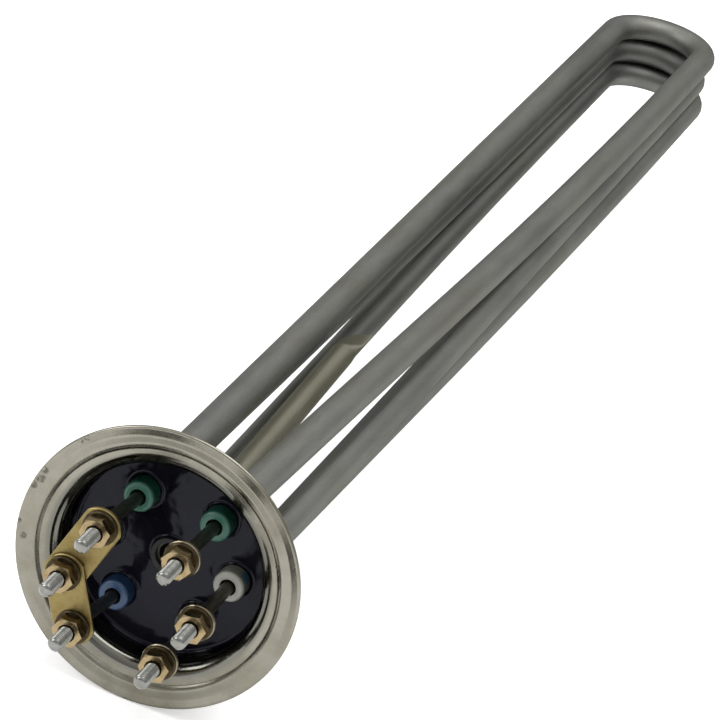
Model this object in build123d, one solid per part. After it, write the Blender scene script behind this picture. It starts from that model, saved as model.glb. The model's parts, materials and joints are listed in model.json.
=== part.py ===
# Dishwasher heating element: three U-shaped sheathed tubes fixed in a round pressed
# flange, with six screw terminals, a brass bridge across three of them and a closed
# pocket for a temperature probe.
# The origin is on the flange's axis, where the straight outer wall of its cup begins.
# +Y runs along the tubes into the water, -Y is the terminal side, +Z is up, and each U
# spans X.
import os
from math import cos, hypot, pi, sin, sqrt, tan

from build123d import *

os.makedirs("parts", exist_ok=True)

# Pressed flange: each run goes inward from the form outside it. The ridge rises from the
# seat, the trough drops from the ridge and the rim rises from the trough
flange_radius = 37.5
sheet = 1.2
rim_rise = 0.5
trough_run = 2.7
trough_drop = 0.6
trough_bend = 2.0
ridge_run = 2.2
ridge_rise = 1.1
ridge_bend = 1.0
seat_run = 1.0
seat_bend = 0.9
wall_run = 3.85
lip_bend = 2.9
cup_depth = 12.5
cup_floor_bend = 2.5

# Heating tubes: each leg swings over from its hole to its straight run in a long bow,
# which reaches gather_bow to each side of its corner
tube_radius = 4.25
sheath_wall = 0.8
u_half_width = 16.0
u_pitch = 8.7
u_top_z = 5.6
u_end_y = 476.6
u_shift = {"top": 1.0, "middle": 0.0, "bottom": 1.5}
gather_bow = 120.0
straight_run = 13.6
lead_end_y = 15.0
lead_bend_radius = 40.0
cold_length = 45.0

# Ring of tube holes in the flange: how far it is from the cup's wall, and the angle of
# the top and bottom holes from the middle ones
ring_inset = 10.25
pair_angle = 53.95

# Where each terminal stands beside its hole, in X and Z, with its pin bent to suit
terminal_lean = {
    ("top", "left"): (-1.0, 0.4),
    ("top", "right"): (-0.1, 0.5),
    ("middle", "left"): (0.3, -0.1),
    ("middle", "right"): (0.2, -0.1),
    ("bottom", "left"): (-1.4, 1.0),
    ("bottom", "right"): (1.0, 0.2),
}
lean_end_gap = 1.5
lean_bend = 12.0

# Wire and pins inside the tubes
pin_radius = 1.65
tube_start_y = 6.3

# Insulating beads
bead_radius = 4.1
bead_front_y = 0.3
bead_spigot_length = 5.0
bead_edge = 1.1
bead_mouth_radius = 2.2
bead_mouth_depth = 3.0

# Potting compound and its climb up what stands in it
potting_front_y = 5.8
potting_climb = 1.1

# Terminal studs: the thread is rolled on a thinner shank, which is plain up to the nut
stud_radius = 1.95
shank_radius = 1.77
stud_length = 13.7
stud_chamfer = 0.7
collar_radius = 2.75
collar_length = 4.0
seat_y = -20.9

# Bridge bars, washers and nuts
bar_thickness = 1.0
bar_width = 10.5
bar_end_reach = 4.9
bar_corner_reach = 1.4
bar_edge = 0.25
washer_radius = 4.7
washer_thickness = 1.0
spring_outer_radius = 4.5
spring_thickness = 1.0
nut_flats = 7.0
nut_height = 3.2
nut_chamfer_angle = 30.0
nut_countersink = 0.5
nut_turn = {
    ("top", "left"): 15.0,
    ("top", "right"): -5.0,
    ("middle", "left"): 0.0,
    ("middle", "right"): 9.0,
    ("bottom", "left"): 3.0,
    ("bottom", "right"): 13.0,
}
screw_hole_radius = 2.15

# Probe pocket
pocket_radius = 3.5
pocket_wall = 0.5
pocket_mouth_y = 5.6
pocket_tip_x = -5.5
pocket_tip_y = 163.6
blade_length = 8.0
blade_half_width = 5.1
blade_half_thickness = 0.85
blade_turn = 29.0
flatten_length = 6.0
sleeve_radius = 4.7
sleeve_mouth_y = 4.1
sleeve_end_y = 9.5

# Brazing on the wet side
braze_size = 1.3

# Fits, and how far a cut runs past what it cuts
cast_gap = 0.05
thread_gap = 0.05
fill_gap = 0.05
hole_gap = 0.1
nut_gap = 0.2
cut_past = 1.0

# Worked out from the sizes above
DEG = pi / 180
trough_radius = flange_radius - trough_run
ridge_radius = trough_radius - ridge_run
seat_outer_radius = ridge_radius - seat_run
cup_outer_radius = seat_outer_radius - wall_run
ridge_height = lip_bend + ridge_rise
trough_height = ridge_height - trough_drop
rim_height = trough_height + rim_rise
cup_inner_radius = cup_outer_radius - sheet
floor_inner_y = cup_depth - sheet
hole_ring_radius = cup_outer_radius - ring_inset
bore_radius = tube_radius - sheath_wall
bend_start_y = u_end_y - u_half_width
gather_y = bend_start_y - straight_run - gather_bow
fill_start_y = tube_start_y + bead_spigot_length + hole_gap
LEVELS = ["top", "middle", "bottom"]
SIDES = ["left", "right"]
u_level_z = {level: u_top_z - index * u_pitch for index, level in enumerate(LEVELS)}


def hole_at(level, side):
    """X and Z of a tube's hole in the flange."""
    sign = -1 if side == "left" else 1
    angle = {"top": pair_angle, "middle": 0.0, "bottom": -pair_angle}[level] * DEG
    return sign * hole_ring_radius * cos(angle), hole_ring_radius * sin(angle)


def terminal_at(level, side):
    """X and Z of a terminal's stud."""
    (x, z), (lean_x, lean_z) = hole_at(level, side), terminal_lean[(level, side)]
    return x + lean_x, z + lean_z


def stack_front_y(level, side):
    """Front of the bars or the washer on a terminal, where its spring washer lies."""
    if side == "right":
        return seat_y - washer_thickness
    return seat_y - (bar_thickness if level == "top" else 2 * bar_thickness)


def nut_back_y(level, side):
    """Back face of a terminal's nut."""
    return stack_front_y(level, side) - spring_thickness


def leg_line(level, side):
    """Points of one leg from inside the cup to the start of the bend."""
    x, z = hole_at(level, side)
    sign = -1 if side == "left" else 1
    far_x = u_shift[level] + sign * u_half_width
    far_z = u_level_z[level]
    return [
        Vector(x, tube_start_y, z),
        Vector(x, lead_end_y, z),
        Vector(far_x, gather_y, far_z),
        Vector(far_x, bend_start_y, far_z),
    ]


def bend_reach(before, corner, after):
    """How far a bend of radius 1 reaches from a corner along each of its sides."""
    turn = (corner - before).get_angle(after - corner)
    return tan(turn * DEG / 2)


def cold_end(level, side):
    """Where the pin ends and the heating wire starts, on the leg's slanted run."""
    points = leg_line(level, side)
    return points[1] + (points[2] - points[1]).normalized() * cold_length


def leg_path(points):
    """A leg's path: a small bend at the flange and a long bow where the legs gather."""
    bow = gather_bow / bend_reach(points[-3], points[-2], points[-1])
    if len(points) == 3:
        return FilletPolyline(*points, radius=bow)
    return FilletPolyline(*points, radius=[lead_bend_radius, bow])


def u_path(level, first_points):
    """Both legs of a U joined by its bend, from first_points(side) on each side."""
    left = leg_path(first_points("left"))
    right = leg_path(first_points("right"))
    middle_of_bend = Vector(u_shift[level], u_end_y, u_level_z[level])
    bend = ThreePointArc(left @ 1, middle_of_bend, right @ 1)
    return Wire(left.edges() + [bend.edge()] + right.edges())


def along(path, points, outer, inner=None):
    """A rod, or a tube where inner is given, swept along a path through these points."""
    plane = Plane(origin=points[0], z_dir=(points[1] - points[0]).normalized())
    section = plane * Circle(outer)
    if inner is not None:
        section -= plane * Circle(inner)
    return sweep(section, path=path)


def rod_y(x, z, radius, start_y, end_y):
    """A round rod parallel to Y."""
    plane = Plane(origin=(x, start_y, z), x_dir=(1, 0, 0), z_dir=(0, 1, 0))
    return extrude(plane * Circle(radius), end_y - start_y)


def tube_y(x, z, outer, inner, start_y, end_y):
    """A round tube parallel to Y."""
    return rod_y(x, z, outer, start_y, end_y) - rod_y(x, z, inner, start_y, end_y)


def climb_ring(x, z, radius, size, base_y, direction):
    """A concave ring that climbs a round wall of the given radius from a flat base."""
    corner = (radius, base_y)
    foot = (radius + size, base_y)
    top = (radius, base_y + direction * abs(size))
    inset = 1 - sqrt(0.5)
    middle = (radius + size * inset, base_y + direction * abs(size) * inset)
    outline = Polyline(top, corner, foot) + ThreePointArc(foot, middle, top)
    ring = revolve(make_face(outline), axis=Axis.Y)
    return Pos(x, 0, z) * ring


def make_flange():
    """The pressed cup, with a trough and a ridge round its brim and its seven holes."""
    edge = flange_radius - sheet / 2
    wall = cup_outer_radius - sheet / 2
    line = FilletPolyline(
        (edge, -rim_height),
        (trough_radius, -trough_height),
        (ridge_radius, -ridge_height),
        (seat_outer_radius, -lip_bend),
        (wall, -lip_bend),
        (wall, cup_depth - sheet / 2),
        (0, cup_depth - sheet / 2),
        radius=[trough_bend, ridge_bend, seat_bend, lip_bend, cup_floor_bend],
    )
    section = trace(line, line_width=sheet) + Pos(edge, -rim_height) * Circle(sheet / 2)
    cup = revolve(section, axis=Axis.Y)
    cut_start, cut_end = floor_inner_y - cut_past, cup_depth + cut_past
    for level in LEVELS:
        for side in SIDES:
            x, z = hole_at(level, side)
            cup -= rod_y(x, z, tube_radius + hole_gap, cut_start, cut_end)
    cup -= rod_y(0, 0, pocket_radius + hole_gap, cut_start, cut_end)
    return cup


def make_braze():
    """Brazing rings round the six tubes and the pocket, on the wet side."""
    rings = []
    for level in LEVELS:
        for side in SIDES:
            x, z = hole_at(level, side)
            rings.append(climb_ring(x, z, tube_radius + cast_gap, braze_size, cup_depth, 1))
    rings.append(climb_ring(0, 0, pocket_radius + cast_gap, braze_size, cup_depth, 1))
    return Compound(children=rings)


def make_potting():
    """The compound that fills the cup round the tube ends, the beads and the sleeve."""
    radius = cup_inner_radius - cast_gap
    back_y = floor_inner_y - cast_gap
    body = rod_y(0, 0, radius, potting_front_y, back_y)
    back_edge = body.edges().sort_by(Axis.Y)[-1]
    body = fillet(back_edge, cup_floor_bend)
    body += climb_ring(0, 0, radius, -potting_climb, potting_front_y, -1)
    front_y = potting_front_y - potting_climb - cut_past
    for level in LEVELS:
        for side in SIDES:
            x, z = hole_at(level, side)
            body += climb_ring(x, z, bead_radius, potting_climb, potting_front_y, -1)
            body -= rod_y(x, z, bead_radius + cast_gap, front_y, tube_start_y)
            body -= rod_y(x, z, tube_radius + cast_gap, tube_start_y - cast_gap, cup_depth)
    body += climb_ring(0, 0, sleeve_radius, potting_climb, potting_front_y, -1)
    body -= rod_y(0, 0, sleeve_radius + cast_gap, front_y, sleeve_end_y + cast_gap)
    body -= rod_y(0, 0, pocket_radius + cast_gap, front_y, cup_depth)
    return body


def make_sheath(level):
    """The steel outer tube of one U."""
    path = u_path(level, lambda side: leg_line(level, side))
    return along(path, leg_line(level, "left"), tube_radius, bore_radius)


def make_fill(level):
    """The packed magnesia powder between the sheath and the wire."""
    def points(side):
        line = leg_line(level, side)
        line[0] = Vector(line[0].X, fill_start_y, line[0].Z)
        return line

    path = u_path(level, points)
    return along(path, points("left"), bore_radius - fill_gap, pin_radius + fill_gap)


def make_wire(level):
    """The wound heating wire of one U, as a plain rod of its outer diameter."""
    def points(side):
        return [cold_end(level, side)] + leg_line(level, side)[2:]

    path = u_path(level, points)
    return along(path, points("left"), pin_radius)


def make_bead(level, side):
    """A glazed ceramic bead that closes a tube's end and guides its pin out."""
    x, z = hole_at(level, side)
    spigot_end_y = tube_start_y + bead_spigot_length
    mouth_end_y = bead_front_y + bead_mouth_depth
    head = rod_y(x, z, bead_radius, bead_front_y, tube_start_y)
    head = fillet(head.edges().sort_by(Axis.Y)[0], bead_edge)
    spigot = rod_y(x, z, bore_radius - fill_gap, tube_start_y, spigot_end_y)
    hole = rod_y(x, z, pin_radius + hole_gap, bead_front_y - cut_past, spigot_end_y + cut_past)
    mouth = rod_y(x, z, bead_mouth_radius, bead_front_y - cut_past, mouth_end_y)
    return head + spigot - hole - mouth


def make_stud(level, side):
    """A terminal: the pin out of the tube, a collar, a shank and the threaded end."""
    x, z = terminal_at(level, side)
    hole_x, hole_z = hole_at(level, side)
    thread_end_y = nut_back_y(level, side) - nut_height - nut_gap
    thread = rod_y(x, z, stud_radius, seat_y - stud_length, thread_end_y)
    thread = chamfer(thread.edges().sort_by(Axis.Y)[0], stud_chamfer)
    shank = rod_y(x, z, shank_radius, thread_end_y, seat_y)
    collar = rod_y(x, z, collar_radius, seat_y, seat_y + collar_length)
    points = [
        Vector(x, seat_y + collar_length / 2, z),
        Vector(hole_x, bead_front_y - lean_end_gap, hole_z),
        Vector(hole_x, lead_end_y, hole_z),
        cold_end(level, side),
    ]
    path = FilletPolyline(*points, radius=[lean_bend, lead_bend_radius])
    return thread + shank + collar + along(path, points, pin_radius)


def make_bar(first, second, front_y):
    """A flat bridge bar between two terminals, with shallow round ends."""
    (x1, z1), (x2, z2) = terminal_at(*first), terminal_at(*second)
    length = hypot(x2 - x1, z2 - z1)
    plane = Plane(origin=(x1, front_y, z1), x_dir=(x2 - x1, 0, z2 - z1), z_dir=(0, 1, 0))
    half = bar_width / 2
    start, end = -bar_corner_reach, length + bar_corner_reach
    outline = Polyline((start, half), (end, half))
    outline += ThreePointArc((end, half), (length + bar_end_reach, 0), (end, -half))
    outline += Polyline((end, -half), (start, -half))
    outline += ThreePointArc((start, -half), (-bar_end_reach, 0), (start, half))
    bar = extrude(plane * make_face(outline), bar_thickness)
    bar = chamfer(bar.faces().sort_by(Axis.Y)[0].outer_wire().edges(), bar_edge)
    for x, z in ((x1, z1), (x2, z2)):
        cut_end = front_y + bar_thickness + cut_past
        bar -= rod_y(x, z, screw_hole_radius, front_y - cut_past, cut_end)
    return bar


def make_washer(level, side, back_y, radius, thickness):
    """A round washer whose back face is at back_y, with its front edge taken off."""
    x, z = terminal_at(level, side)
    ring = tube_y(x, z, radius, screw_hole_radius, back_y - thickness, back_y)
    rim = ring.faces().sort_by(Axis.Y)[0].outer_wire().edges()
    return chamfer(rim, bar_edge)


def make_nut(level, side):
    """A hexagon nut with its corners turned off and its hole countersunk at both faces."""
    x, z = terminal_at(level, side)
    back_y = nut_back_y(level, side)
    turn = nut_turn[(level, side)] * DEG
    plane = Plane(origin=(x, back_y, z), x_dir=(cos(turn), 0, sin(turn)), z_dir=(0, -1, 0))
    corner_radius = nut_flats / sqrt(3)
    blank = extrude(plane * RegularPolygon(corner_radius, 6), nut_height)
    drop = (corner_radius - nut_flats / 2) * tan(nut_chamfer_angle * DEG)
    section = Polyline(
        (0, 0),
        (nut_flats / 2, 0),
        (corner_radius, drop),
        (corner_radius, nut_height - drop),
        (nut_flats / 2, nut_height),
        (0, nut_height),
        close=True,
    )
    turned = Pos(x, back_y - nut_height, z) * revolve(make_face(section), axis=Axis.Y)
    hole_radius = shank_radius + thread_gap
    cutter = Polyline(
        (0, -cut_past),
        (hole_radius + nut_countersink + cut_past, -cut_past),
        (hole_radius, nut_countersink),
        (hole_radius, nut_height - nut_countersink),
        (hole_radius + nut_countersink + cut_past, nut_height + cut_past),
        (0, nut_height + cut_past),
        close=True,
    )
    hole = Pos(x, back_y - nut_height, z) * revolve(make_face(cutter), axis=Axis.Y)
    return (blank & turned) - hole


def pocket_direction():
    """The way the probe pocket leans, from where it leaves the flange."""
    lean = Vector(pocket_tip_x, pocket_tip_y, 0) - Vector(0, lead_end_y, 0)
    return lean.normalized()


def pocket_rod(radius, half_width, half_thickness, start_y, length_after):
    """A round rod along the pocket that flattens into a blade at its end."""
    way = pocket_direction()
    round_end = Vector(pocket_tip_x, pocket_tip_y, 0) - way * (blade_length + flatten_length)
    start = Vector(0, start_y, 0)
    path = FilletPolyline(start, Vector(0, lead_end_y, 0), round_end, radius=lead_bend_radius)
    rod = sweep(Plane(origin=start, z_dir=(0, 1, 0)) * Circle(radius), path=path)
    side = Vector(1, 0, 0).rotate(Axis.Y, -blade_turn)
    side = (side - way * side.dot(way)).normalized()
    round_section = Plane(origin=round_end, x_dir=side, z_dir=way) * Circle(radius)
    flat_plane = Plane(origin=round_end + way * flatten_length, x_dir=side, z_dir=way)
    flat_section = flat_plane * Ellipse(half_width, half_thickness)
    body = rod + loft([round_section, flat_section])
    if length_after > 0:
        body += extrude(flat_section, length_after)
    return body


def make_pocket():
    """The closed steel tube for a temperature probe, pinched flat and sealed at its end."""
    outer = pocket_rod(
        pocket_radius, blade_half_width, blade_half_thickness, pocket_mouth_y, blade_length
    )
    inner = pocket_rod(
        pocket_radius - pocket_wall,
        blade_half_width - pocket_wall,
        blade_half_thickness - pocket_wall,
        pocket_mouth_y,
        0,
    )
    return outer - inner


def make_sleeve():
    """The short soft sleeve round the pocket's mouth."""
    return tube_y(
        0, 0, sleeve_radius, pocket_radius + cast_gap, sleeve_mouth_y, sleeve_end_y
    )


def save(shape, name):
    """Write one sub-part as parts/NAME.step."""
    shape.label = name
    export_step(shape, f"parts/{name}.step")


save(make_flange(), "flange_cup")
save(make_braze(), "braze_rings")
save(make_potting(), "potting_compound")
save(make_pocket(), "probe_pocket")
save(make_sleeve(), "pocket_sleeve")

for level in LEVELS:
    save(make_sheath(level), f"sheath_{level}")
    save(make_fill(level), f"magnesia_{level}")
    save(make_wire(level), f"heating_wire_{level}")
    for side in SIDES:
        save(make_bead(level, side), f"bead_{level}_{side}")
        save(make_stud(level, side), f"terminal_{level}_{side}")

inner_bar_front = stack_front_y("top", "left")
outer_bar_front = stack_front_y("middle", "left")
save(make_bar(("top", "left"), ("middle", "left"), inner_bar_front), "bridge_bar_inner")
save(make_bar(("middle", "left"), ("bottom", "left"), outer_bar_front), "bridge_bar_outer")

# A washer is under the outer bar at the bottom, and on the collar of each right terminal
for level, side in [("bottom", "left")] + [(level, "right") for level in LEVELS]:
    washer = make_washer(level, side, seat_y, washer_radius, washer_thickness)
    save(washer, f"washer_{level}_{side}")
for level in LEVELS:
    for side in SIDES:
        back_y = stack_front_y(level, side)
        spring = make_washer(level, side, back_y, spring_outer_radius, spring_thickness)
        save(spring, f"spring_washer_{level}_{side}")
        save(make_nut(level, side), f"nut_{level}_{side}")
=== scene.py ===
import json
from math import cos, hypot, pi, radians, sin

import bmesh
import bpy
from mathutils import Matrix, Vector

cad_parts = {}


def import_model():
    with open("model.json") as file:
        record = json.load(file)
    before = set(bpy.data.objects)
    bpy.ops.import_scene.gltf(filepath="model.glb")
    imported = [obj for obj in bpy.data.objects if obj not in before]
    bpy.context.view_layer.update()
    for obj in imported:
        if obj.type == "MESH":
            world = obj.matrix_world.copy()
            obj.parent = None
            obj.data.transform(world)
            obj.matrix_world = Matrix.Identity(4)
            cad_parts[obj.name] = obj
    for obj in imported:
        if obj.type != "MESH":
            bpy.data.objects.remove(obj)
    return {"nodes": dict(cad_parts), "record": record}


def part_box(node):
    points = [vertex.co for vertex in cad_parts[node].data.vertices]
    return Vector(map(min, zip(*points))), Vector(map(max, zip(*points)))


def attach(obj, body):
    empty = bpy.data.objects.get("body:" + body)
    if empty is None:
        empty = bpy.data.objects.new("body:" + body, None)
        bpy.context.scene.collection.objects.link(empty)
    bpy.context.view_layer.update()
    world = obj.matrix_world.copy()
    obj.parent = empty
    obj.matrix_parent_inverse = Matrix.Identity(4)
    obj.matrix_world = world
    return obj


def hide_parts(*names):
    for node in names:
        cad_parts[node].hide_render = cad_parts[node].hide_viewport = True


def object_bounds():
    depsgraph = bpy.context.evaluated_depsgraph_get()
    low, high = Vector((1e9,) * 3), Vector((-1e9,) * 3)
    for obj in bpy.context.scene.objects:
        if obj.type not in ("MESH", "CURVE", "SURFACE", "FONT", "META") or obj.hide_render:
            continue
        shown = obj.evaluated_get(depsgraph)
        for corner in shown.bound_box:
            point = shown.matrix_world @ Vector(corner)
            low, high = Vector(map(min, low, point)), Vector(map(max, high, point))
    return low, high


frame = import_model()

nodes = frame["nodes"]
cad_low, cad_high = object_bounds()

LEVELS = ["top", "middle", "bottom"]
SIDES = ["left", "right"]

# Camera, as it stood for the photograph, in metres and degrees
CAMERA_PLACE = (0.2372, -0.8965, 0.4892)
CAMERA_AZIMUTH = 12.75
CAMERA_ELEVATION = 24.49
CAMERA_ROLL = 15.52
CAMERA_FOCAL_PIXELS = 4253.7
CAMERA_CLIP_START = 0.01
IMAGE_PIXELS = 720
SENSOR_WIDTH = 36.0

# Lamps as (name, place, size, power), in metres and watts, and the place they are aimed at
LAMPS = [
    ("softbox_top", (0.3, 0.1, 1.6), 1.2, 14.0),
    ("softbox_left", (-1.3, -0.6, 0.9), 0.9, 9.0),
]
LAMP_TARGET = (0.0, 0.2, 0.0)

# Floor, room and backdrop
WHITE = (1.0, 1.0, 1.0, 1.0)
FLOOR_HALF = 6.0
FLOOR_GAP = 0.0001
FLOOR_DARK = (0.93, 0.93, 0.93)
FLOOR_PALE = (0.95, 0.95, 0.95)
FLOOR_GLOW = 0.35
ROOM_HEIGHTS = (0.0, 0.9)
ROOM_STRENGTHS = (0.35, 1.05)
BACKDROP_HEIGHTS = (0.08, 0.2)

# Smooth shading stops at edges sharper than this, in degrees
NODE_SMOOTH_ANGLE = 32
PIECE_SMOOTH_ANGLE = 38

# Threads of the terminals, in metres
STUD_RADIUS = 0.00195
STUD_CHAMFER = 0.0007
SHANK_RADIUS = 0.00177
NUT_GAP = 0.0002
THREAD_PITCH = 0.0007
THREAD_DEPTH = 0.00036
THREAD_FLANK = 1.25
THREAD_STEPS = 40
THREAD_ROWS_PER_TURN = 7
WELD_DISTANCE = 1e-7
CUT_TOLERANCE = 1e-6

# Places that the materials need, in metres, and the ranges over which a look fades


def middle(low, high):
    """The point halfway between two corners."""
    return tuple((a + b) / 2 for a, b in zip(low, high))


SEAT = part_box("washer_top_right")[1].y
# Where the studs' painted shade begins, behind the washer's seat
SEAT_FADE = (SEAT - 0.0012, SEAT + 0.0002)
BEAD_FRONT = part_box("bead_top_right")[0].y
BEAD_FADE = (BEAD_FRONT, BEAD_FRONT + 0.0012)
MOUTH_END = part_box("pocket_sleeve")[1].y
# Where the painted shade inside the pocket's sleeve fades out
MOUTH_SHADE_FADE = (MOUTH_END, MOUTH_END + 0.006)
RIM_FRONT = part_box("flange_cup")[0].y
CUP_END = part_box("flange_cup")[1].y
HEATED_DEPTHS = (CUP_END - 0.0022, CUP_END - 0.0003)
# The cup's inner wall, which the flange material darkens as painted shade
CUP_INSIDE = 0.02655
CUP_SKIN = (CUP_INSIDE + 0.00006, CUP_INSIDE + 0.00016)
LIP_RADIUS = 0.0303
LIP_FADE = (LIP_RADIUS - 0.0010, LIP_RADIUS)
WALL_DEPTHS = (0.0075, 0.0090)
SPUN_RADII = (0.0284, 0.0294)
SPUN_RINGS_PER_METRE = 9000.0

# The middle U bend, darkened by a spot of painted shade: its middle and the spot's radius
bend_x, _, bend_z = middle(*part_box("sheath_middle"))
BEND_MIDDLE = (bend_x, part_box("sheath_middle")[1].y, bend_z)
BEND_SHADE_RADIUS = 0.017

# Scuffs on the rim, as (degrees about the axis, radius, size)
SCUFF_RINGS = [
    (133.0, 0.0370, 0.0011),
    (136.0, 0.0369, 0.0009),
    (157.0, 0.0367, 0.0014),
    (161.0, 0.0360, 0.0016),
    (165.0, 0.0368, 0.0013),
    (-178.0, 0.0370, 0.0008),
    (-172.0, 0.0353, 0.0012),
]
SCUFFS = [
    ((radius * cos(radians(angle)), RIM_FRONT, radius * sin(radians(angle))), size)
    for angle, radius, size in SCUFF_RINGS
]

# Marks on the beads, as (place, radius, colour): a stain on the right white bead, and
# the whole of the right bottom bead, which is dark where it shows
white_low, white_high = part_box("bead_middle_right")
WHITE_MARK = (
    (white_high.x - 0.0006, white_low.y + 0.0035, middle(white_low, white_high)[2] + 0.0028),
    0.0021,
    (0.03, 0.09, 0.14),
)
DARK_BEAD = (middle(*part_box("bead_bottom_right")), 0.012, (0.011, 0.013, 0.012))

# Colours of the flange
FLANGE_DULL = (0.175, 0.163, 0.125)
FLANGE_BRIGHT = (0.25, 0.238, 0.20)
FLANGE_WARM = (0.20, 0.187, 0.15)
FLANGE_STAIN = (0.17, 0.15, 0.105)
# Painted shade for the cup's inner wall, standing in for the black potting it reflects
FLANGE_WALL_SHADE = (0.13, 0.13, 0.115)
FLANGE_HEATED = (0.21, 0.155, 0.085)
FLANGE_SCUFF = (0.07, 0.066, 0.058)
FLANGE_TINT = (0.55, 0.54, 0.50, 1.0)

# Colours of the tubes, where all of them share one
TUBE_SPECK = (0.08, 0.075, 0.06)
# Painted shade on the middle U bend
TUBE_BEND_SHADE = (0.11, 0.11, 0.098)
# Painted shade inside the mouth of the pocket's sleeve
TUBE_MOUTH_SHADE = (0.035, 0.032, 0.022)
TUBE_TINT = (0.25, 0.25, 0.24, 1.0)

# Colours of what has a material to itself, from the lowest noise to the highest
POTTING_COLOURS = ((0.003, 0.003, 0.005), (0.006, 0.006, 0.011))
POTTING_TINT = (0.84, 0.86, 1.0, 1.0)
PLATED_COLOURS = ((0.18, 0.18, 0.165), (0.25, 0.25, 0.235))
# Painted shade for the studs between their seats and the beads
SEATED_SHADE_COLOURS = ((0.07, 0.065, 0.05), (0.12, 0.11, 0.085))
SPRING_COLOURS = ((0.030, 0.023, 0.014), (0.070, 0.054, 0.030))
RUBBER_COLOURS = ((0.006, 0.006, 0.006), (0.013, 0.013, 0.013))
BRAZE_COLOURS = ((0.42, 0.34, 0.20), (0.50, 0.44, 0.32), (0.22, 0.18, 0.13))

# Tubes as (dull, bright, olive, shift of the clouds)
TUBES = {
    "sheath_steel": ((0.20, 0.205, 0.19), (0.285, 0.285, 0.265), (0.23, 0.225, 0.19), 0.0),
    "pocket_steel": ((0.25, 0.245, 0.185), (0.34, 0.33, 0.265), (0.28, 0.26, 0.195), 3.1),
}

# Glazes as (colour, paler front face, mark or None)
GLAZES = {
    "bead_green": ((0.008, 0.055, 0.034), (0.03, 0.115, 0.08), None),
    "bead_white": ((0.14, 0.14, 0.12), (0.33, 0.33, 0.29), WHITE_MARK),
    "bead_blue": ((0.010, 0.028, 0.07), (0.03, 0.065, 0.14), DARK_BEAD),
}

# Brasses as (pale, deep, stain, lowest and highest roughness)
BRASSES = {
    "brass_bar": ((0.23, 0.18, 0.075), (0.17, 0.125, 0.045), (0.06, 0.04, 0.012), 0.30, 0.42),
    "brass_nut": ((0.31, 0.24, 0.135), (0.20, 0.145, 0.07), (0.07, 0.045, 0.017), 0.16, 0.28),
    "brass_washer": ((0.26, 0.225, 0.165), (0.17, 0.14, 0.09), (0.06, 0.045, 0.025), 0.20, 0.32),
}

# Fillings as (colour, metallic)
FILLINGS = {
    "magnesia": ((0.70, 0.70, 0.66), 0.0),
    "resistance_wire": ((0.30, 0.28, 0.25), 1.0),
}


# Shader helpers


class Nodes:
    """A node tree, with short ways to add nodes and join them."""

    def __init__(self, tree):
        self.tree = tree

    def add(self, kind, **settings):
        node = self.tree.nodes.new(kind)
        for key, value in settings.items():
            setattr(node, key, value)
        return node

    def put(self, source, target):
        """Joins a socket to a target, or sets the target to a plain value."""
        if isinstance(source, bpy.types.NodeSocket):
            self.tree.links.new(source, target)
        else:
            target.default_value = source

    def math(self, operation, a, b):
        node = self.add("ShaderNodeMath", operation=operation)
        self.put(a, node.inputs[0])
        self.put(b, node.inputs[1])
        return node.outputs[0]

    def times(self, a, b):
        return self.math("MULTIPLY", a, b)

    def highest(self, first, *others):
        for other in others:
            first = self.math("MAXIMUM", first, other)
        return first

    def level(self, source, low, high, to_low=0.0, to_high=1.0):
        """Maps low to high onto another range, and clamps it there."""
        node = self.add("ShaderNodeMapRange")
        self.put(source, node.inputs["Value"])
        node.inputs["From Min"].default_value = low
        node.inputs["From Max"].default_value = high
        node.inputs["To Min"].default_value = to_low
        node.inputs["To Max"].default_value = to_high
        return node.outputs["Result"]

    def fade(self, source, low, high, strength=1.0):
        """A strength up to low, falling to 0 at high."""
        return self.level(source, low, high, strength, 0.0)

    def shown_rays(self):
        """1 for the rays that should see the plain white background."""
        rays = self.add("ShaderNodeLightPath").outputs
        return self.highest(
            rays["Is Camera Ray"], rays["Is Glossy Ray"], rays["Is Transmission Ray"]
        )


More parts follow.
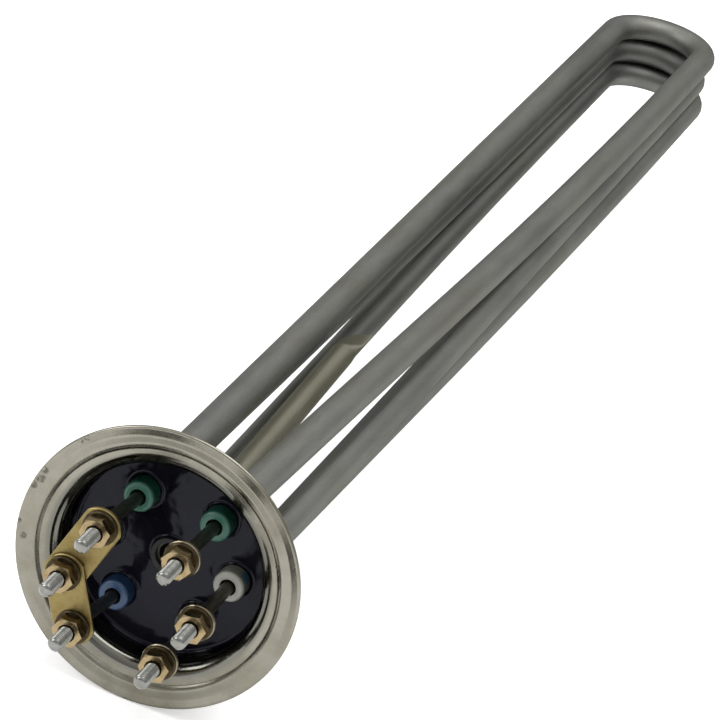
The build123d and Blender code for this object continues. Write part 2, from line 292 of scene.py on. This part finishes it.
class Shader(Nodes):
    """A new material's node tree, with its own shader and coordinates."""

    def __init__(self, name):
        self.material = bpy.data.materials.new(name)
        self.material.use_nodes = True
        super().__init__(self.material.node_tree)
        self.bsdf = self.tree.nodes["Principled BSDF"]
        self.coordinates = self.add("ShaderNodeTexCoord").outputs["Object"]

    def set(self, **values):
        """Sets the shader's own sockets, with underscores for the spaces in their names."""
        for key, value in values.items():
            self.put(value, self.bsdf.inputs[key.replace("_", " ")])

    def vector(self, operation, other, source=None):
        """The coordinates, or another vector, worked on by a plain vector."""
        node = self.add("ShaderNodeVectorMath", operation=operation)
        self.put(source or self.coordinates, node.inputs[0])
        node.inputs[1].default_value = other
        return node.outputs

    def stretch(self, scale, source=None):
        """Coordinates multiplied by a scale for each axis."""
        return self.vector("MULTIPLY", scale, source)["Vector"]

    def noise(self, scale, detail=3.0, roughness=0.55, vector=None):
        node = self.add("ShaderNodeTexNoise")
        self.put(vector or self.coordinates, node.inputs["Vector"])
        node.inputs["Scale"].default_value = scale
        node.inputs["Detail"].default_value = detail
        node.inputs["Roughness"].default_value = roughness
        return node.outputs["Fac"]

    def ramp(self, source, *stops):
        """A colour ramp through stops of (place, colour)."""
        node = self.add("ShaderNodeValToRGB")
        elements = node.color_ramp.elements
        while len(elements) < len(stops):
            elements.new(0.5)
        for element, (place, colour) in zip(elements, stops):
            element.position = place
            element.color = (*colour, 1.0)
        self.put(source, node.inputs["Fac"])
        return node.outputs["Color"]

    def mottle(self, scale, detail, colours, start=0.3, end=0.7):
        """Two colours in soft spots."""
        return self.ramp(self.noise(scale, detail), (start, colours[0]), (end, colours[1]))

    def mix(self, factor, a, b):
        """One colour turning into another."""
        node = self.add("ShaderNodeMix", data_type="RGBA")
        self.put(factor, node.inputs["Factor"])
        for value, target in ((a, node.inputs["A"]), (b, node.inputs["B"])):
            if isinstance(value, tuple):
                value = (*value, 1.0)
            self.put(value, target)
        return node.outputs["Result"]

    def bump(self, height, distance):
        """Bumps from a height, and their distance in metres, stacked on any already there."""
        node = self.add("ShaderNodeBump")
        self.put(height, node.inputs["Height"])
        node.inputs["Distance"].default_value = distance
        node.inputs["Strength"].default_value = 1.0
        if self.bsdf.inputs["Normal"].links:
            self.put(self.bsdf.inputs["Normal"].links[0].from_socket, node.inputs["Normal"])
        self.put(node.outputs["Normal"], self.bsdf.inputs["Normal"])

    def spot(self, place, radius, soft=0.5):
        """A round mask about a place, in metres: 1 inside, fading to 0 at its radius."""
        distance = self.vector("DISTANCE", place)["Value"]
        return self.fade(distance, radius * soft, radius)

    def axis_radius(self):
        """Distance from the flange's axis."""
        node = self.add("ShaderNodeVectorMath", operation="LENGTH")
        self.put(self.stretch((1.0, 0.0, 1.0)), node.inputs[0])
        return node.outputs["Value"]

    def depth(self):
        """The Y coordinate, along the tubes."""
        node = self.add("ShaderNodeSeparateXYZ")
        self.put(self.coordinates, node.inputs[0])
        return node.outputs["Y"]

    def rings(self, radius, per_metre):
        """Fine uneven rings about the flange's axis."""
        node = self.add("ShaderNodeCombineXYZ")
        self.put(self.times(radius, per_metre), node.inputs["X"])
        return self.noise(1.0, 2.0, vector=node.outputs["Vector"])


# Materials


def flange_steel():
    """Pressed stainless sheet: spun brim with scuffs on its left edge, inner wall of the
    cup darkened as painted shade for the black potting it reflects, and a floor that is
    tinted by the brazing on its wet side."""
    s = Shader("flange_steel")
    radius = s.axis_radius()
    depth = s.depth()
    blotch = s.noise(170.0, 5.0, 0.65)

    # The lip leans outward in front, so its skin is followed by radius and depth together
    inward = s.math("ADD", radius, s.math("MINIMUM", depth, 0.0))
    wall = s.times(s.fade(inward, *CUP_SKIN), s.fade(radius, *LIP_FADE))
    wall = s.times(wall, s.fade(depth, *WALL_DEPTHS))
    tinted = s.level(s.noise(130.0, 4.0), 0.35, 0.7, 0.2, 0.8)
    heated = s.times(s.level(depth, *HEATED_DEPTHS), tinted)
    rings = s.times(s.rings(radius, SPUN_RINGS_PER_METRE), s.level(radius, *SPUN_RADII))
    scuffs = s.highest(*[s.spot(place, size) for place, size in SCUFFS])
    scuffs = s.times(scuffs, s.level(s.noise(1000.0, 5.0, 0.7), 0.44, 0.62))

    base = s.ramp(
        s.noise(55.0, 4.0), (0.3, FLANGE_DULL), (0.55, FLANGE_BRIGHT), (0.8, FLANGE_WARM)
    )
    base = s.mix(s.level(blotch, 0.55, 0.75, 0.0, 0.35), base, FLANGE_STAIN)
    # Painted shade: the cup's inner wall is darkened, standing in for the black potting it
    # reflects
    base = s.mix(s.times(wall, 0.8), base, FLANGE_WALL_SHADE)
    base = s.mix(heated, base, FLANGE_HEATED)
    base = s.mix(s.times(scuffs, 0.7), base, FLANGE_SCUFF)
    satin = s.level(blotch, 0.3, 0.7, 0.21, 0.31)
    roughness = s.math("SUBTRACT", satin, s.times(wall, 0.13))
    s.set(Base_Color=base, Metallic=1.0, Roughness=roughness, Specular_Tint=FLANGE_TINT)
    s.bump(rings, 0.000005)
    s.bump(s.noise(420.0, 3.0), 0.00002)
    s.bump(scuffs, 0.00012)
    return s.material


def tube_steel(name, dull, bright, olive, shift):
    """Drawn and annealed tube: fine lengthwise lines, slow changes of tint, painted shade as a
    dark spot on the middle U bend, and painted shade darkening the end beside the pocket's sleeve."""
    s = Shader(name)
    lines = s.noise(1.0, 3.0, vector=s.stretch((5200.0, 60.0, 5200.0)))
    shifted = s.vector("ADD", (shift, shift * 2, shift))["Vector"]
    cloud = s.noise(1.0, 4.0, 0.6, vector=s.stretch((45.0, 11.0, 45.0), shifted))
    speck = s.level(s.noise(700.0, 4.0, 0.7), 0.62, 0.8, 0.0, 0.4)
    grain = s.level(s.noise(2300.0, 4.0, 0.7), 0.35, 0.65, 0.0, 0.4)

    base = s.ramp(cloud, (0.32, dull), (0.52, bright), (0.72, olive))
    base = s.mix(speck, base, TUBE_SPECK)
    base = s.mix(grain, base, tuple(c * 0.7 for c in dull))
    # Painted shade: a dark spot on the middle U bend, where the bend takes no highlight
    base = s.mix(s.spot(BEND_MIDDLE, BEND_SHADE_RADIUS, 0.35), base, TUBE_BEND_SHADE)
    # Painted shade: tubes darkened before the sleeve's end, standing in for the shade inside its
    # mouth
    base = s.mix(s.fade(s.depth(), *MOUTH_SHADE_FADE, 0.8), base, TUBE_MOUTH_SHADE)
    roughness = s.level(lines, 0.3, 0.7, 0.46, 0.60)
    s.set(Base_Color=base, Metallic=1.0, Roughness=roughness, Specular_Tint=TUBE_TINT)
    s.bump(lines, 0.000010)
    s.bump(s.noise(2600.0, 3.0), 0.000012)
    return s.material


def potting():
    """Black casting compound, poured and set with a soft uneven gloss."""
    s = Shader("potting")
    base = s.mottle(90.0, 3.0, POTTING_COLOURS, start=0.35)
    roughness = s.level(s.noise(150.0, 3.0), 0.3, 0.7, 0.07, 0.16)
    s.set(Base_Color=base, Roughness=roughness, IOR=1.5)
    s.set(Specular_IOR_Level=0.18, Specular_Tint=POTTING_TINT)
    s.bump(s.noise(120.0, 2.0), 0.00035)
    return s.material


def glazed(name, colour, face, mark):
    """Glazed ceramic bead: smooth, slightly mottled, paler towards its front face."""
    s = Shader(name)
    cloud = s.noise(380.0, 4.0)
    base = s.mix(s.level(cloud, 0.35, 0.7), colour, tuple(c * 0.75 for c in colour))
    base = s.mix(s.fade(s.depth(), *BEAD_FADE), base, face)
    if mark:
        place, size, ink = mark
        base = s.mix(s.spot(place, size, 0.6), base, ink)
    s.set(Base_Color=base, Roughness=s.level(cloud, 0.3, 0.7, 0.28, 0.42), IOR=1.5)
    s.bump(s.noise(1500.0, 3.0), 0.00002)
    return s.material


def brass(name, pale, deep, stain, rough_low, rough_high):
    """Punched or turned brass with light tarnish and fine handling marks."""
    s = Shader(name)
    cloud = s.noise(260.0, 5.0, 0.6)
    lines = s.noise(1.0, 2.0, vector=s.stretch((900.0, 900.0, 5200.0)))
    stains = s.level(s.noise(900.0, 4.0, 0.7), 0.6, 0.75, 0.0, 0.5)
    base = s.ramp(cloud, (0.3, deep), (0.55, pale), (0.8, deep))
    base = s.mix(stains, base, stain)
    roughness = s.level(cloud, 0.3, 0.7, rough_low, rough_high)
    s.set(Base_Color=base, Metallic=1.0, Roughness=roughness)
    s.bump(lines, 0.000008)
    s.bump(s.noise(800.0, 3.0), 0.00002)
    return s.material


def stud_steel():
    """Bright plated thread, painted dark between its seat and the beads as painted shade, standing
    in for the black potting it reflects there.
    """
    s = Shader("stud_steel")
    plated = s.mottle(600.0, 3.0, PLATED_COLOURS)
    # Painted shade: darker steel behind the seat, standing in for the black potting the stud
    # reflects
    seated_shade = s.mottle(500.0, 4.0, SEATED_SHADE_COLOURS)
    inner = s.level(s.depth(), *SEAT_FADE)
    roughness = s.level(inner, 0.0, 1.0, 0.22, 0.38)
    s.set(Base_Color=s.mix(inner, plated, seated_shade), Metallic=1.0, Roughness=roughness)
    s.bump(s.noise(1500.0, 3.0), 0.000015)
    return s.material


def spring_steel():
    """Spring steel, very dark brown in soft spots."""
    s = Shader("spring_steel")
    s.set(Base_Color=s.mottle(700.0, 4.0, SPRING_COLOURS), Metallic=1.0, Roughness=0.4)
    s.bump(s.noise(1200.0, 3.0), 0.00003)
    return s.material


def braze():
    """Brazing alloy that has run round each tube, with flux stains."""
    s = Shader("braze")
    cloud = s.noise(420.0, 5.0, 0.65)
    base = s.ramp(cloud, *zip((0.3, 0.6, 0.8), BRAZE_COLOURS))
    s.set(Base_Color=base, Metallic=1.0, Roughness=s.level(cloud, 0.3, 0.7, 0.3, 0.5))
    s.bump(s.noise(900.0, 4.0), 0.0002)
    return s.material


def rubber():
    """Matte black sleeve round the pocket's mouth."""
    s = Shader("sleeve")
    base = s.mottle(500.0, 3.0, RUBBER_COLOURS)
    s.set(Base_Color=base, Roughness=0.5, Specular_IOR_Level=0.35)
    s.bump(s.noise(1200.0, 3.0), 0.00002)
    return s.material


def hidden_filling(name, colour, metallic):
    """Plain finish with some grain for what the sheaths hide."""
    s = Shader(name)
    base = s.mottle(900.0, 4.0, (colour, tuple(c * 1.15 for c in colour)))
    s.set(Base_Color=base, Metallic=metallic, Roughness=0.7)
    s.bump(s.noise(1600.0, 3.0), 0.00002)
    return s.material


MATERIALS = {
    "flange_steel": flange_steel(),
    "braze": braze(),
    "potting": potting(),
    "sleeve": rubber(),
    "stud_steel": stud_steel(),
    "spring_steel": spring_steel(),
    **{name: tube_steel(name, *looks) for name, looks in TUBES.items()},
    **{name: glazed(name, *looks) for name, looks in GLAZES.items()},
    **{name: brass(name, *looks) for name, looks in BRASSES.items()},
    **{name: hidden_filling(name, *looks) for name, looks in FILLINGS.items()},
}


def smooth(mesh, angle):
    """Smooth shading up to edges sharper than an angle in degrees."""
    for polygon in mesh.polygons:
        polygon.use_smooth = True
    mesh.set_sharp_from_angle(angle=radians(angle))


def finish_nodes():
    """Gives each node its record slot's material and smooth shading."""
    for row in frame["record"]["subparts"]:
        thing = nodes[row["node"]]
        thing.data.materials.clear()
        thing.data.materials.append(MATERIALS[row["material_slot"]])
        smooth(thing.data, NODE_SMOOTH_ANGLE)


finish_nodes()


# Pieces that stand for a node


def add_object(name, data):
    thing = bpy.data.objects.new(name, data)
    bpy.context.scene.collection.objects.link(thing)
    return thing


def mesh_piece(name, mesh_builder, material, *replaced):
    """Makes an object from a bmesh builder, on the root body, in place of some nodes."""
    mesh = bpy.data.meshes.new(name)
    shape = bmesh.new()
    mesh_builder(shape)
    bmesh.ops.recalc_face_normals(shape, faces=shape.faces)
    shape.to_mesh(mesh)
    shape.free()
    smooth(mesh, PIECE_SMOOTH_ANGLE)
    mesh.materials.append(MATERIALS[material])
    thing = add_object(name, mesh)
    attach(thing, "root")
    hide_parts(*replaced)


def bridge_rings(shape, rings):
    """Skins a list of rings of vertices, and closes its ends."""
    count = len(rings[0])
    for first, second in zip(rings, rings[1:]):
        for index in range(count):
            after = (index + 1) % count
            shape.faces.new((first[index], first[after], second[after], second[index]))
    shape.faces.new(list(reversed(rings[0])))
    shape.faces.new(rings[-1])


def thread_radius(turn, place):
    """Radius of a right-hand thread at a turn from 0 to 1 and a place in metres."""
    phase = (place / THREAD_PITCH + turn) % 1.0
    ridge = 1.0 - abs(2.0 * phase - 1.0)
    return STUD_RADIUS - THREAD_DEPTH * (1.0 - min(1.0, ridge * THREAD_FLANK))


def threaded_terminal(level, side):
    """A terminal whose free end has a real thread, from the CAD one and a helix."""
    node = f"terminal_{level}_{side}"
    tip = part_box(node)[0].y
    nut_low, nut_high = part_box(f"nut_{level}_{side}")
    x, _, z = middle(nut_low, nut_high)
    thread_end = nut_low.y - NUT_GAP
    turns = [index / THREAD_STEPS for index in range(THREAD_STEPS)]

    def ring(shape, y, radii):
        return [
            shape.verts.new((
                x + radius * cos(2 * pi * turn),
                y,
                z + radius * sin(2 * pi * turn),
            ))
            for turn, radius in zip(turns, radii)
        ]

    def in_free_end(place):
        """Whether a point of the CAD terminal lies before the thread's end, or on its
        stud where the thread ends."""
        outer = hypot(place.x - x, place.z - z) > (STUD_RADIUS + SHANK_RADIUS) / 2
        if outer:
            return place.y < thread_end + CUT_TOLERANCE
        return place.y < thread_end - CUT_TOLERANCE

    def build(shape):
        shape.from_mesh(nodes[node].data)
        bmesh.ops.remove_doubles(shape, verts=shape.verts, dist=WELD_DISTANCE)
        plain = [vertex for vertex in shape.verts if in_free_end(vertex.co)]
        bmesh.ops.delete(shape, geom=plain, context="VERTS")
        bmesh.ops.holes_fill(shape, edges=[edge for edge in shape.edges if edge.is_boundary])
        start_radius = STUD_RADIUS - STUD_CHAMFER
        rings = [ring(shape, tip, [start_radius] * THREAD_STEPS)]
        step = THREAD_PITCH / THREAD_ROWS_PER_TURN
        for row in range(1, int((thread_end - tip) / step)):
            depth = row * step
            radii = [min(start_radius + depth, thread_radius(turn, depth)) for turn in turns]
            rings.append(ring(shape, tip + depth, radii))
        rings.append(ring(shape, thread_end, [STUD_RADIUS - THREAD_DEPTH] * THREAD_STEPS))
        bridge_rings(shape, rings)

    mesh_piece(f"threaded_terminal_{level}_{side}", build, "stud_steel", node)


for level in LEVELS:
    for side in SIDES:
        threaded_terminal(level, side)


# Floor, lights and camera


def floor():
    """A plain pale floor that keeps the soft shadow."""
    mesh = bpy.data.meshes.new("floor")
    z = cad_low.z - FLOOR_GAP
    corners = [(-1, -1), (1, -1), (1, 1), (-1, 1)]
    mesh.from_pydata([(x * FLOOR_HALF, y * FLOOR_HALF, z) for x, y in corners], [], [(0, 1, 2, 3)])
    thing = add_object("floor", mesh)
    s = Shader("floor")
    tone = s.mottle(3.0, 2.0, (FLOOR_DARK, FLOOR_PALE))
    glow = s.times(s.shown_rays(), FLOOR_GLOW)
    s.set(Base_Color=tone, Roughness=0.9, Emission_Color=WHITE, Emission_Strength=glow)
    mesh.materials.append(s.material)


def world():
    """A pale room, brightest overhead, whose low backdrop carries on from the floor."""
    scene = bpy.context.scene
    scene.world = bpy.data.worlds.new("world")
    scene.world.use_nodes = True
    s = Nodes(scene.world.node_tree)
    split = s.add("ShaderNodeSeparateXYZ")
    s.put(s.add("ShaderNodeTexCoord").outputs["Generated"], split.inputs[0])
    height = split.outputs["Z"]
    room = s.level(height, *ROOM_HEIGHTS, *ROOM_STRENGTHS)
    backdrop = s.times(s.fade(height, *BACKDROP_HEIGHTS), s.shown_rays())
    background = s.tree.nodes["Background"]
    background.inputs["Color"].default_value = WHITE
    s.put(s.highest(room, backdrop), background.inputs["Strength"])


def lights():
    """A large softbox above, and a smaller one from the left."""
    for name, place, size, power in LAMPS:
        data = bpy.data.lights.new(name, "AREA")
        data.shape = "SQUARE"
        data.size = size
        data.energy = power
        lamp = add_object(name, data)
        lamp.location = place
        aim = Vector(LAMP_TARGET) - Vector(place)
        lamp.rotation_euler = aim.to_track_quat("-Z", "Y").to_euler()


def camera():
    """The photograph's camera: its place, direction, roll and focal length."""
    azimuth, elevation = radians(CAMERA_AZIMUTH), radians(CAMERA_ELEVATION)
    back = Vector((
        sin(azimuth) * cos(elevation),
        -cos(azimuth) * cos(elevation),
        sin(elevation),
    ))
    right = Vector((cos(azimuth), sin(azimuth), 0.0))
    up = back.cross(right)
    turn = radians(CAMERA_ROLL)
    rolled_right = right * cos(turn) + up * sin(turn)
    rolled_up = up * cos(turn) - right * sin(turn)
    data = bpy.data.cameras.new("camera")
    data.sensor_width = SENSOR_WIDTH
    data.sensor_fit = "HORIZONTAL"
    data.lens = CAMERA_FOCAL_PIXELS / IMAGE_PIXELS * SENSOR_WIDTH
    data.clip_start = CAMERA_CLIP_START
    thing = add_object("camera", data)
    basis = Matrix((rolled_right, rolled_up, back)).transposed().to_4x4()
    thing.matrix_world = Matrix.Translation(CAMERA_PLACE) @ basis
    bpy.context.scene.camera = thing


floor()
world()
lights()
camera()
bpy.context.scene.view_settings.view_transform = "Standard"
